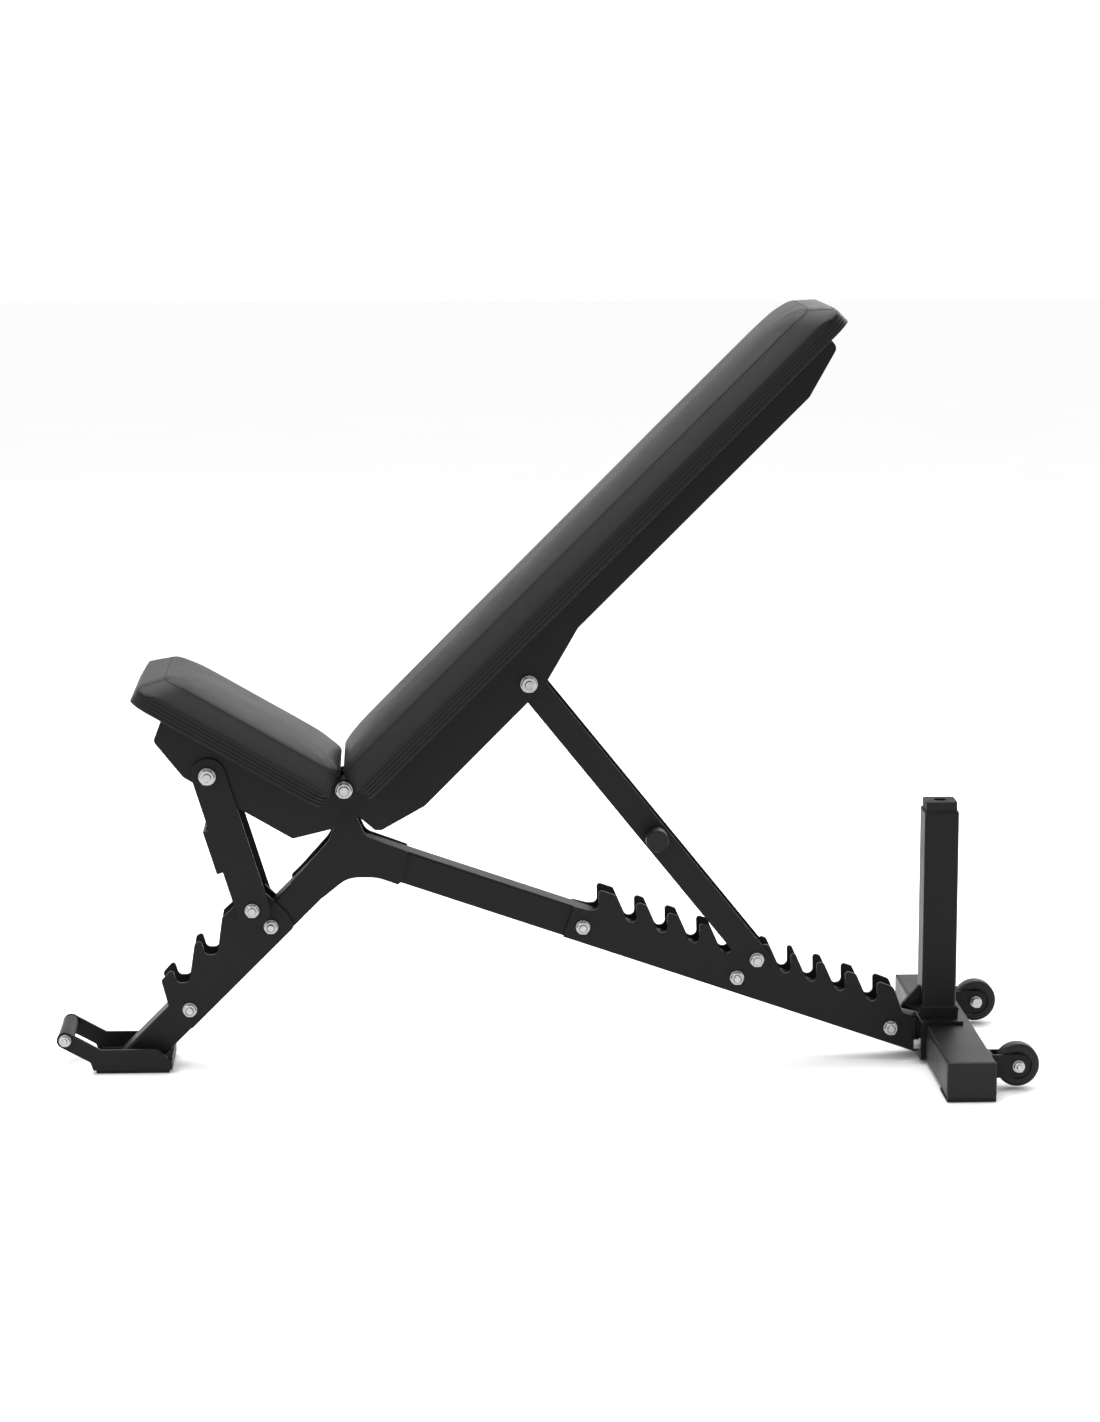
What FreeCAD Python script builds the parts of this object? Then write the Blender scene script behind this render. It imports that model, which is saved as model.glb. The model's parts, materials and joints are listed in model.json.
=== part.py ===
import FreeCAD, Part
import math
import os

# Adjustable weight bench, millimetres and degrees.
# +X runs from the front foot to the wheels, +Z is up, the bench is symmetric about Y = 0.
# Everything is laid out from the main pivot and moved at the end, so that the origin
# lies on the floor under the middle of the bench.

# ---------------------------------------------------------------- driving dimensions
PIVOT_HEIGHT = 396.0          # main pivot above the floor
BACK_ANGLE = 45.0             # backrest above level, as stored
SEAT_ANGLE = 30.0             # seat above level, as stored
BACK_STOPS = [85.0, 75.0, 67.5, 60.0, 52.5, 45.0, 37.5, 30.0, 20.0, 0.0]
SEAT_STOPS = [0.0, 15.0, 30.0]

TUBE = 45.0                   # leg and beam, square outside
TUBE_WALL = 3.0
TUBE_RADIUS = 4.0
LADDER_THICK = 5.0
GAP = 0.3                     # between pieces that move past each other
RUNNING = 0.08                # radial clearance of a turning fit
BOLT_CLEAR = 0.25             # radial clearance of a fixed bolt

LEG_SLOPE = 45.0              # leg below level, going forward
LEG_DROP = 94.0               # pivot to leg centre line, measured straight down
LEG_TO_BEAM = 5.6             # pivot to where leg and beam centre lines meet
BEAM_END_HEIGHT = 33.7        # beam centre line above the floor at the rear bracket
PIN_RADIUS = 7.0              # lock pins that rest in the notches
BEAM_PIN_LIFT = 10.5          # prop lock pin axis above the top of the beam
LEG_PIN_LIFT = 15.33          # strut lock pin axis above the top of the leg

BACK_LENGTH = 911.0
BACK_START = 22.0             # pivot to the near end of the backrest board
SEAT_LENGTH = 296.0
SEAT_START = 19.0
BOARD_WIDTH = 270.0
BOARD_THICK = 19.0
BOARD_DROP = 25.0             # board underside below the pivot line
BOARD_CORNER = 28.0
PAD_WIDTH = 240.0
PAD_THICK = 42.0
WEB_THICK = 4.0

PROP_SIDE_GAP = 2.0           # ladder plate to prop flange
PROP_THICK = 4.0
SEAT_SIDE_GAP = 9.5           # ladder plate to seat plate
SEAT_PLATE_THICK = 4.0
STRUT_SIDE_GAP = 1.6          # seat plate to strut flange
STRUT_THICK = 4.0
BACK_SIDE_GAP = 2.0           # seat plate to backrest plate
BACK_PLATE_THICK = 5.0
LUG_RADIUS = 16.0

STRUT_TOP = (171.6, -76.4)    # strut pivot: along the seat, and square to it
STRUT_LENGTH = 197.1
STRUT_FRONT = 21.5            # strut edges either side of its centre line
STRUT_BACK = 25.0
PROP_TOP = (282.0, -77.0)     # prop pivot: along the backrest, and square to it
PROP_LENGTH = 505.8
PROP_HALF = 18.5
PROP_WEB_END = 150.0
PROP_HANDLE = 280.0           # handle bar, from the prop's top pivot
KNOB_RADIUS = 15.5
KNOB_LENGTH = 34.0

CROSSBAR_LENGTH = 500.0
CROSSBAR_DEPTH = 67.0
CROSSBAR_HEIGHT = 50.0
CROSSBAR_FRONT = 807.0        # pivot to the crossbar's front face
FOOT_THICK = 5.0
CAP_THICK = 3.0
BRACKET_THICK = 6.0
BRACKET_BOLT_LIFT = 26.0      # bracket bolts above the floor
BRACKET_BOLT_GAP = 2.0        # ladder plate to the bolt's washer
BRACKET_EDGE = 12.0           # bracket bolt to the end of its plate
COLLAR_GAP = 4.1              # top of the beam to the post collar
POST = 48.0
POST_FRONT = 805.5
POST_TOP = 45.5               # top of the post tube below the pivot
BUMPER = 43.0
WHEEL_RADIUS = 30.0
WHEEL_WIDTH = 22.0
WHEEL_Y = 179.0
WHEEL_GAP = 5.0               # tyre to the back plate of its fork
FORK_THICK = 4.0
WHEEL_LIFT = 4.0              # under the wheel, with the bench standing

FOOT_HALF = 53.5
FOOT_PLATE = 5.0
FOOT_AHEAD = 25.58            # foot plate ends, from the leg's faces at its lower end
FOOT_BEHIND = 19.58
FOOT_WALL_HEIGHT = 17.0
FOOT_SIDE_HEIGHT = 33.7       # above the floor
HANDLE_AHEAD = 63.78          # handle centre, from the leg's front face
HANDLE_HEIGHT = 48.0
HANDLE_RADIUS = 11.0
EAR_RADIUS = 11.5

M10 = {"shank": 5.0, "washer": 10.0, "flats": 16.0, "nut": 8.0}
M12 = {"shank": 6.0, "washer": 12.0, "flats": 19.0, "nut": 10.0}
M8 = {"shank": 4.0, "washer": 8.5, "flats": 13.0, "nut": 6.5}
WASHER_THICK = 2.0
SHAFT_RADIUS = 8.0
BUSH_RADIUS = 11.0
PROP_BUSH_RADIUS = 9.0

# ---------------------------------------------------------------- derived values
FLOOR = -PIVOT_HEIGHT
LADDER_IN = TUBE / 2
LADDER_OUT = LADDER_IN + LADDER_THICK
PROP_IN = LADDER_OUT + PROP_SIDE_GAP
SEAT_PLATE_IN = LADDER_OUT + SEAT_SIDE_GAP
STRUT_IN = SEAT_PLATE_IN + SEAT_PLATE_THICK + STRUT_SIDE_GAP
BACK_PLATE_IN = SEAT_PLATE_IN + SEAT_PLATE_THICK + BACK_SIDE_GAP
BEAM_JOIN = (LEG_TO_BEAM, LEG_TO_BEAM - LEG_DROP)
BEAM_RUN = CROSSBAR_FRONT - BRACKET_THICK - LEG_TO_BEAM
BEAM_TAN = (BEAM_JOIN[1] - FLOOR - BEAM_END_HEIGHT) / BEAM_RUN
BEAM_SLOPE = math.degrees(math.atan(BEAM_TAN))
LEG_FOOT_X = FLOOR + FOOT_THICK + FOOT_PLATE + LEG_DROP
LEG_HALF_RUN = TUBE / 2 * math.sqrt(2)            # half the leg, measured level
FOOT_FRONT = LEG_FOOT_X - LEG_HALF_RUN - FOOT_AHEAD
FOOT_BACK = LEG_FOOT_X + LEG_HALF_RUN + FOOT_BEHIND
HANDLE = (LEG_FOOT_X - LEG_HALF_RUN - HANDLE_AHEAD, FLOOR + HANDLE_HEIGHT)
WHEEL_X = CROSSBAR_FRONT + CROSSBAR_DEPTH + FORK_THICK + WHEEL_GAP + WHEEL_RADIUS
FRONT_END = HANDLE[0] - EAR_RADIUS
REAR_END = WHEEL_X + WHEEL_RADIUS
SHIFT = FreeCAD.Vector(-(FRONT_END + REAR_END) / 2, 0, PIVOT_HEIGHT)
CROSSBAR_LOW = FLOOR + FOOT_THICK
CROSSBAR_TOP = CROSSBAR_LOW + CROSSBAR_HEIGHT
BRACKET_TOP = CROSSBAR_TOP + FOOT_THICK
BRACKET_BOLT_Y = LADDER_OUT + BRACKET_BOLT_GAP + M8["washer"]
BRACKET_BOLT_Z = FLOOR + BRACKET_BOLT_LIFT
BRACKET_HALF = BRACKET_BOLT_Y + BRACKET_EDGE
WHEEL_Z = FLOOR + WHEEL_LIFT + WHEEL_RADIUS


# ---------------------------------------------------------------- helpers
def vec(x, y, z):
    return FreeCAD.Vector(x, y, z)


def save(name, shape):
    """Move the piece into the bench's own frame and write it."""
    solids = shape.Solids
    moved = Part.makeCompound([s.copy() for s in solids]) if len(solids) > 1 else solids[0].copy()
    moved.translate(SHIFT)
    moved.exportStep("parts/%s.step" % name)


def rounded_wire(points):
    """A closed outline in X and Z; a third number on a point rounds that corner."""
    count = len(points)
    starts, ends, arcs = [], [], []
    for i, point in enumerate(points):
        here = vec(point[0], 0, point[1])
        radius = point[2] if len(point) > 2 else 0.0
        back = vec(points[i - 1][0], 0, points[i - 1][1]) - here
        ahead = vec(points[(i + 1) % count][0], 0, points[(i + 1) % count][1]) - here
        if radius <= 0:
            starts.append(here)
            ends.append(here)
            arcs.append(None)
            continue
        half = back.getAngle(ahead) / 2
        back.normalize()
        ahead.normalize()
        reach = radius / math.tan(half)
        middle = back + ahead
        middle.normalize()
        centre = here + middle * (radius / math.sin(half))
        starts.append(here + back * reach)
        ends.append(here + ahead * reach)
        arcs.append(centre - middle * radius)
    edges = []
    for i in range(count):
        if arcs[i] is not None:
            edges.append(Part.Arc(starts[i], arcs[i], ends[i]).toShape())
        following = starts[(i + 1) % count]
        if ends[i].distanceToPoint(following) > 1e-6:
            edges.append(Part.LineSegment(ends[i], following).toShape())
    return Part.Wire(edges)


def plate(points, y_low, y_high):
    """A flat plate that stands in X and Z and is thick along Y."""
    face = Part.Face(rounded_wire(points))
    face.translate(vec(0, y_low, 0))
    return face.extrude(vec(0, y_high - y_low, 0))


def rod(x, z, radius, y_low, y_high):
    return Part.makeCylinder(radius, y_high - y_low, vec(x, y_low, z), vec(0, 1, 0))


def bore(shape, x, z, radius):
    return shape.cut(rod(x, z, radius, -400, 400))


def both_sides(maker):
    """The piece on the -Y side and its mirror image on the +Y side."""
    left = maker()
    right = left.mirror(vec(0, 0, 0), vec(0, 1, 0))
    return left, right


def group(*shapes):
    return Part.makeCompound([s for shape in shapes for s in shape.Solids])


def hexagon(x, z, flats, y_low, y_high, hole):
    """A hexagon nut or head along Y, chamfered on its corners."""
    corner = flats / math.sqrt(3)
    points = []
    for i in range(6):
        turn = math.radians(60 * i)
        points.append((x + corner * math.cos(turn), z + corner * math.sin(turn)))
    nut = plate(points, y_low, y_high)
    depth = y_high - y_low
    chamfer = 0.12 * flats
    cone_low = Part.makeCone(flats / 2, flats / 2 + chamfer * 1.6, chamfer, vec(x, y_low, z), vec(0, 1, 0))
    barrel = rod(x, z, flats / 2 + chamfer * 1.6, y_low + chamfer, y_high - chamfer)
    cone_high = Part.makeCone(flats / 2 + chamfer * 1.6, flats / 2, chamfer,
                              vec(x, y_low + depth - chamfer, z), vec(0, 1, 0))
    nut = nut.common(cone_low.fuse(barrel).fuse(cone_high).removeSplitter())
    if hole:
        nut = nut.cut(rod(x, z, hole, y_low - 1, y_high + 1))
    return nut


def washer(x, z, size, y_low):
    ring = rod(x, z, size["washer"], y_low, y_low + WASHER_THICK)
    ring = ring.makeFillet(0.5, [e for e in ring.Edges if e.Closed])
    return ring.cut(rod(x, z, size["shank"] + BOLT_CLEAR, y_low - 1, y_low + WASHER_THICK + 1))


def through_bolt(x, z, size, outer, seat_gap=0.0):
    """Shank and head, two washers and a nut that clamp faces at -outer and +outer."""
    face = outer + seat_gap
    under = face + WASHER_THICK
    tip = under + size["nut"] + 3.0
    shank = rod(x, z, size["shank"], -tip, under)
    end = [e for e in shank.Edges if e.Closed and abs(e.CenterOfMass.y + tip) < 0.1]
    shank = shank.makeChamfer(0.8, end)
    head = hexagon(x, z, size["flats"], under, under + 0.65 * size["flats"], 0)
    washers = group(washer(x, z, size, -under), washer(x, z, size, face))
    nut = hexagon(x, z, size["flats"], -under - size["nut"], -under, size["shank"] + 0.02)
    return shank.fuse(head), washers, nut


def box_tube(length, depth, height, wall, radius):
    """A hollow rectangular tube along +X from the origin, centred on Y and Z."""
    def block(dy, dz, r, grow):
        body = Part.makeBox(length + 2 * grow, dy, dz, vec(-grow, -dy / 2, -dz / 2))
        long_edges = [e for e in body.Edges if abs(e.tangentAt(e.FirstParameter).x) > 0.99]
        return body.makeFillet(r, long_edges)
    outer = block(depth, height, radius, 0)
    inner = block(depth - 2 * wall, height - 2 * wall, max(radius - wall, 0.8), 5)
    return outer.cut(inner)


def turn_y(shape, degrees):
    """Turn about the main pivot; a positive angle lifts what lies in front."""
    shape.rotate(vec(0, 0, 0), vec(0, 1, 0), degrees)
    return shape


def back_point(along, square, angle=BACK_ANGLE):
    a = math.radians(angle)
    return (along * math.cos(a) - square * math.sin(a), along * math.sin(a) + square * math.cos(a))


def seat_point(along, square, angle=SEAT_ANGLE):
    a = math.radians(angle)
    return (-along * math.cos(a) + square * math.sin(a), along * math.sin(a) + square * math.cos(a))


def in_back(shape):
    return turn_y(shape, -BACK_ANGLE)


def in_seat(shape):
    return turn_y(shape, SEAT_ANGLE)


def reach_line(centre, length, slope, start, forward):
    """Where a link of this length meets the straight line through start."""
    cx, cz = centre
    base = start[1] - slope * start[0] - cz
    a = 1 + slope * slope
    b = -2 * cx + 2 * slope * base
    c = cx * cx + base * base - length * length
    root = math.sqrt(b * b - 4 * a * c)
    x = (-b + root) / (2 * a) if forward else (-b - root) / (2 * a)
    return (x, start[1] + slope * (x - start[0]))


# ---------------------------------------------------------------- link geometry
# Each lock pin moves along a line above its tube, and its notches lie where the link
# reaches that line at each of the stops.
PROP_PIVOT = back_point(*PROP_TOP)
STRUT_PIVOT = seat_point(*STRUT_TOP)
LEG_TAN = math.tan(math.radians(LEG_SLOPE))
BEAM_COS = math.cos(math.radians(BEAM_SLOPE))
PIN_LINE_START = (BEAM_JOIN[0], BEAM_JOIN[1] + (TUBE / 2 + BEAM_PIN_LIFT) / BEAM_COS)
STRUT_LINE_START = (0.0, -LEG_DROP + (TUBE / 2 + LEG_PIN_LIFT) * math.sqrt(2))

BACK_NOTCHES = [reach_line(back_point(*PROP_TOP, angle=a), PROP_LENGTH, -BEAM_TAN, PIN_LINE_START, True)
                for a in BACK_STOPS]
SEAT_NOTCHES = [reach_line(seat_point(*STRUT_TOP, angle=a), STRUT_LENGTH, LEG_TAN, STRUT_LINE_START, False)
                for a in SEAT_STOPS]
PROP_PIN = BACK_NOTCHES[BACK_STOPS.index(BACK_ANGLE)]
STRUT_PIN = SEAT_NOTCHES[SEAT_STOPS.index(SEAT_ANGLE)]


def beam_z(x, lift):
    """Height at x of a line that runs lift above the lock pin line."""
    return PIN_LINE_START[1] - BEAM_TAN * (x - PIN_LINE_START[0]) + lift / BEAM_COS


BEAM_TOP = -BEAM_PIN_LIFT
BEAM_LOW = -BEAM_PIN_LIFT - TUBE
LEG_LOW = -LEG_DROP - LEG_HALF_RUN                # z - x of the leg's lower edge
LEG_TOP = -LEG_DROP + LEG_HALF_RUN

BOLT_DROP = BEAM_PIN_LIFT + TUBE / 2 + 1.0
REAR_BOLTS = [(PROP_PIN[0] + d, beam_z(PROP_PIN[0] + d, -BOLT_DROP)) for d in (-242.4, -27.2, 189.3)]
FRONT_BOLTS = [(-102.9, -195.8), (-216.5, -312.5)]
LADDER_END = CROSSBAR_FRONT - BRACKET_THICK - 4.0


# ---------------------------------------------------------------- frame
def leg_tube():
    spare = 2.5 * TUBE
    length = (LEG_TO_BEAM - LEG_FOOT_X) * math.sqrt(2) + 2 * spare
    tube = box_tube(length, TUBE, TUBE, TUBE_WALL, TUBE_RADIUS)
    tube.translate(vec(-length + spare, 0, 0))
    tube.rotate(vec(0, 0, 0), vec(0, 1, 0), -LEG_SLOPE)
    tube.translate(vec(BEAM_JOIN[0], 0, BEAM_JOIN[1]))
    tube = tube.cut(Part.makeBox(1200, 200, 600, vec(-1000, -100, FLOOR + FOOT_PLATE + FOOT_THICK - 600)))
    tube = tube.cut(miter_side(True))
    for x, z in FRONT_BOLTS:
        tube = bore(tube, x, z, M10["shank"] + BOLT_CLEAR)
    return tube


def miter_side(beam_side):
    """Everything on one side of the plane where leg and beam are welded together."""
    top_x = (beam_z(0, BEAM_TOP) - LEG_TOP) / (1 + BEAM_TAN)
    low_x = (beam_z(0, BEAM_LOW) - LEG_LOW) / (1 + BEAM_TAN)
    top = vec(top_x, 0, top_x + LEG_TOP)
    low = vec(low_x, 0, low_x + LEG_LOW)
    tilt = math.degrees(math.atan2(low.x - top.x, top.z - low.z))
    sign = 1 if beam_side else -1
    block = Part.makeBox(1500, 200, 1500, vec(0 if sign > 0 else -1500, -100, -750))
    block.rotate(vec(0, 0, 0), vec(0, 1, 0), -tilt)
    block.translate(top)
    return block


def rear_beam_tube():
    spare = 1.4 * TUBE
    length = BEAM_RUN / BEAM_COS + 2 * spare
    tube = box_tube(length, TUBE, TUBE, TUBE_WALL, TUBE_RADIUS)
    tube.translate(vec(-spare, 0, 0))
    tube.rotate(vec(0, 0, 0), vec(0, 1, 0), BEAM_SLOPE)
    tube.translate(vec(BEAM_JOIN[0], 0, BEAM_JOIN[1]))
    end = CROSSBAR_FRONT - BRACKET_THICK
    tube = tube.cut(Part.makeBox(400, 200, 900, vec(end, -100, -800)))
    tube = tube.cut(miter_side(False))
    for x, z in REAR_BOLTS:
        tube = bore(tube, x, z, M10["shank"] + BOLT_CLEAR)
    return tube


def gusset():
    """The branched plate that carries the pivot and joins the leg to the beam."""
    points = [
        (-77.5, -135.5, 5), (-60.6, -118.8), (-22.0, -75.5, 30), (-9.5, -42.0, 20), (-15.0, 0.0, 0),
        (-15.0, 15.0, 14.9), (15.0, 15.0, 14.9), (15.0, -38.0, 25),
        (29.0, -70.0, 18), (87.5, -91.5, 4), (80.0, -133.0, 6), (73.0, -138.0),
        (44.0, -127.5, 60), (4.0, -127.5, 40), (-29.0, -154.0, 4), (-40.4, -161.5, 4),
    ]
    shape = plate(points, -LADDER_OUT, -LADDER_IN)
    return bore(shape, 0, 0, SHAFT_RADIUS + BOLT_CLEAR)


def front_ladder():
    """Three notches for the seat strut's lock pin, on the leg."""
    low, middle, high = SEAT_NOTCHES

    def at(pin, dx, dz, *radius):
        return (pin[0] + dx, pin[1] + dz) + radius

    floor_z = -PIN_RADIUS - 1.5
    notch = PIN_RADIUS + 0.4
    points = [
        (-214.0, -214.0 + LEG_LOW, 4), (-236.0, -334.0, 6), (-246.0, -307.0),
        (-255.5, -271.0, 4), at(low, -14.5, 12.0, 4),
        at(low, -8.0, floor_z, notch), at(low, 8.4, floor_z, notch),
        at(middle, -22.8, 7.0, 5), at(middle, -14.0, 12.0, 4),
        at(middle, -8.0, floor_z, notch), at(middle, 8.4, floor_z, notch),
        (-170.3, -182.7, 4), at(high, -14.0, 12.0, 4),
        at(high, -8.0, floor_z, notch), at(high, 8.4, floor_z, notch),
        (-115.0, -143.5, 3), (-80.6, -176.5, 10), (-70.0, -70.0 + LEG_LOW, 8),
    ]
    shape = plate(points, -LADDER_OUT, -LADDER_IN)
    for x, z in FRONT_BOLTS:
        shape = bore(shape, x, z, M10["shank"] + BOLT_CLEAR)
    return shape


def rear_ladder():
    """Ten stops for the prop's lock pin, on the beam: hooked teeth with a ramp behind."""
    floor_z = -PIN_RADIUS - 0.3
    wall = PIN_RADIUS + 1.2
    wall_lean = 0.7
    floor_radius = PIN_RADIUS + 0.3
    ramp_foot = -4.6
    ramp_slope = 2.18
    tooth = 23.0
    tip_radius = 4.5

    def ramp_top(pin):
        # x where the ramp that leads into this notch reaches the tips of the teeth
        rise = beam_z(pin[0], tooth) - (pin[1] + floor_z)
        return pin[0] + ramp_foot - rise / (ramp_slope - BEAM_TAN)

    first, last = BACK_NOTCHES[0], BACK_NOTCHES[-1]
    start_x = first[0] - 27.0
    tail = TUBE * BEAM_TAN * BEAM_COS
    points = [(start_x - tail, beam_z(start_x - tail, BEAM_LOW)), (start_x, beam_z(start_x, BEAM_TOP)),
              (first[0] - 6.0, first[1] + floor_z, 10), (first[0] + wall, first[1] + floor_z, floor_radius)]
    for before, pin in zip(BACK_NOTCHES, BACK_NOTCHES[1:]):
        tip = before[0] + wall - wall_lean
        ramp = ramp_top(pin)
        radius = min(tip_radius, 0.5 * (ramp - tip))
        points += [(tip, beam_z(tip, tooth), radius), (ramp, beam_z(ramp, tooth), radius),
                   (pin[0] + ramp_foot, pin[1] + floor_z, floor_radius),
                   (pin[0] + wall, pin[1] + floor_z, floor_radius)]
    tip = last[0] + wall - wall_lean
    points += [
        (tip, beam_z(tip, tooth), tip_radius), (last[0] + 31.0, beam_z(last[0] + 31.0, tooth - 1), 9),
        (last[0] + 46.0, last[1] - 30.0, 8),
        (LADDER_END, beam_z(LADDER_END, BEAM_TOP)), (LADDER_END, beam_z(LADDER_END, BEAM_LOW)),
    ]
    shape = plate(points, -LADDER_OUT, -LADDER_IN)
    for x, z in REAR_BOLTS:
        shape = bore(shape, x, z, M10["shank"] + BOLT_CLEAR)
    return shape


def front_foot():
    """Channel foot: base, rear wall and two side plates whose ears hold the handle."""
    low = FLOOR + FOOT_THICK
    top = FLOOR + FOOT_SIDE_HEIGHT
    ear = math.radians(30.0)
    lean = (EAR_RADIUS * math.sin(ear), EAR_RADIUS * math.cos(ear))
    x, z = HANDLE
    reach = EAR_RADIUS

    def side():
        points = [
            (FOOT_FRONT, low), (FOOT_BACK, low), (FOOT_BACK, FLOOR + 16.0, 3), (FOOT_BACK - 20.0, top, 4),
            (FOOT_FRONT + 10.9, top, 6), (x + lean[0], z + lean[1]),
            (x + lean[0] - reach * math.cos(ear), z + lean[1] + reach * math.sin(ear), EAR_RADIUS * 0.98),
            (x - lean[0] - reach * math.cos(ear), z - lean[1] + reach * math.sin(ear), EAR_RADIUS * 0.98),
            (x - lean[0], z - lean[1]), (FOOT_FRONT - 4.0, FLOOR + 16.5, 5),
        ]
        shape = plate(points, -FOOT_HALF, -FOOT_HALF + FOOT_PLATE)
        return bore(shape, x, z, M8["shank"] + BOLT_CLEAR)

    left, right = both_sides(side)
    inner = FOOT_HALF - FOOT_PLATE
    base = Part.makeBox(FOOT_BACK - FOOT_FRONT - FOOT_PLATE, 2 * inner, FOOT_PLATE,
                        vec(FOOT_FRONT, -inner, low))
    wall = Part.makeBox(FOOT_PLATE, 2 * inner, FOOT_WALL_HEIGHT, vec(FOOT_BACK - FOOT_PLATE, -inner, low))
    rubber = Part.makeBox(FOOT_BACK - FOOT_FRONT - 8, 2 * FOOT_HALF - 6, FOOT_THICK,
                          vec(FOOT_FRONT + 4, -FOOT_HALF + 3, FLOOR))
    rubber = rubber.makeFillet(1.5, [e for e in rubber.Edges if abs(e.CenterOfMass.z - FLOOR) < 0.01])
    tube = rod(x, z, HANDLE_RADIUS, -inner, inner).cut(rod(x, z, M8["shank"] + BOLT_CLEAR, -inner, inner))
    return left, right, base, wall, rubber, tube


def rear_bracket():
    """Angle plate that joins beam and post to the crossbar."""
    front = CROSSBAR_FRONT - BRACKET_THICK
    points = [
        (front, CROSSBAR_LOW), (CROSSBAR_FRONT, CROSSBAR_LOW), (CROSSBAR_FRONT, CROSSBAR_TOP),
        (CROSSBAR_FRONT + 53.0, CROSSBAR_TOP), (CROSSBAR_FRONT + 53.0, BRACKET_TOP),
        (front, BRACKET_TOP, 5),
    ]
    shape = plate(points, -BRACKET_HALF, BRACKET_HALF)
    for y in (-BRACKET_BOLT_Y, BRACKET_BOLT_Y):
        start = vec(front - 5, y, BRACKET_BOLT_Z)
        hole = Part.makeCylinder(M8["shank"] + BOLT_CLEAR, 20, start, vec(1, 0, 0))
        shape = shape.cut(hole)
    return shape


def bracket_bolts():
    """Two screws along X that pass through the bracket into the crossbar's front wall."""
    front = CROSSBAR_FRONT - BRACKET_THICK
    shapes = []
    for y in (-BRACKET_BOLT_Y, BRACKET_BOLT_Y):
        screw = rod(0, 0, M8["shank"], 0, 20)
        head = hexagon(0, 0, M8["flats"], -7.5, 0, 0)
        disc = rod(0, 0, M8["washer"], 0, 0.01 + 1.6)
        screw = screw.fuse(disc).fuse(head)
        screw.rotate(vec(0, 0, 0), vec(0, 0, 1), -90)
        screw.translate(vec(front - 1.61, y, BRACKET_BOLT_Z))
        shapes.append(screw)
    return group(*shapes)


def post_pieces():
    middle = POST_FRONT + POST / 2
    height = -POST_TOP - BRACKET_TOP
    tube = box_tube(height, POST, POST, TUBE_WALL, TUBE_RADIUS)
    tube.rotate(vec(0, 0, 0), vec(0, 1, 0), -90)
    tube.translate(vec(middle, 0, BRACKET_TOP))
    plug = POST / 2 - TUBE_WALL - 0.2
    bumper_top = -(BOARD_DROP + WEB_THICK + 0.9)
    lower = Part.makeBox(2 * plug, 2 * plug, 25, vec(middle - plug, -plug, -POST_TOP - 25))
    lower = lower.makeFillet(TUBE_RADIUS / 2, [e for e in lower.Edges if abs(e.tangentAt(0).z) > 0.99])
    lip = Part.makeBox(POST - 2, POST - 2, 2.5, vec(middle - POST / 2 + 1, -POST / 2 + 1, -POST_TOP))
    upper = Part.makeBox(BUMPER, BUMPER, bumper_top + POST_TOP,
                         vec(middle - BUMPER / 2, -BUMPER / 2, -POST_TOP))
    upright = [e for e in upper.Edges if abs(e.tangentAt(e.FirstParameter).z) > 0.99]
    upper = upper.makeFillet(3.5, upright)
    bumper = lower.fuse(lip).fuse(upper)
    bumper = bumper.cut(Part.makeCylinder(9, 8, vec(middle, 0, bumper_top - 8)))
    nose, shoulder, tail = POST_FRONT - 26.0, POST_FRONT - 6.0, POST_FRONT + POST + 3.0
    collar_z = beam_z(nose, BEAM_TOP) + COLLAR_GAP
    width = POST / 2 + 4.0
    collar_points = [(nose, -5.0), (shoulder, -width), (tail, -width),
                     (tail, width), (shoulder, width), (nose, 5.0)]
    edges = Part.makePolygon([vec(px, py, collar_z) for px, py in collar_points + collar_points[:1]])
    collar = Part.Face(edges).extrude(vec(0, 0, 5.0))
    skirt_wall = 2.5
    skirt = Part.makeBox(POST + 2 * skirt_wall, POST + 2 * skirt_wall, collar_z - BRACKET_TOP,
                         vec(POST_FRONT - skirt_wall, -POST / 2 - skirt_wall, BRACKET_TOP))
    hole = Part.makeBox(POST, POST, 30, vec(POST_FRONT, -POST / 2, collar_z - 15))
    collar = collar.fuse(skirt).cut(hole)
    rib_low = collar_z + 5.0
    rib = plate([(nose + 2.0, rib_low), (POST_FRONT, rib_low), (POST_FRONT, rib_low + 26.0),
                 (POST_FRONT - 3.0, rib_low + 26.0), (nose + 2.0, rib_low + 1.5)], -4, 4)
    return tube, bumper, collar, rib


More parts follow.
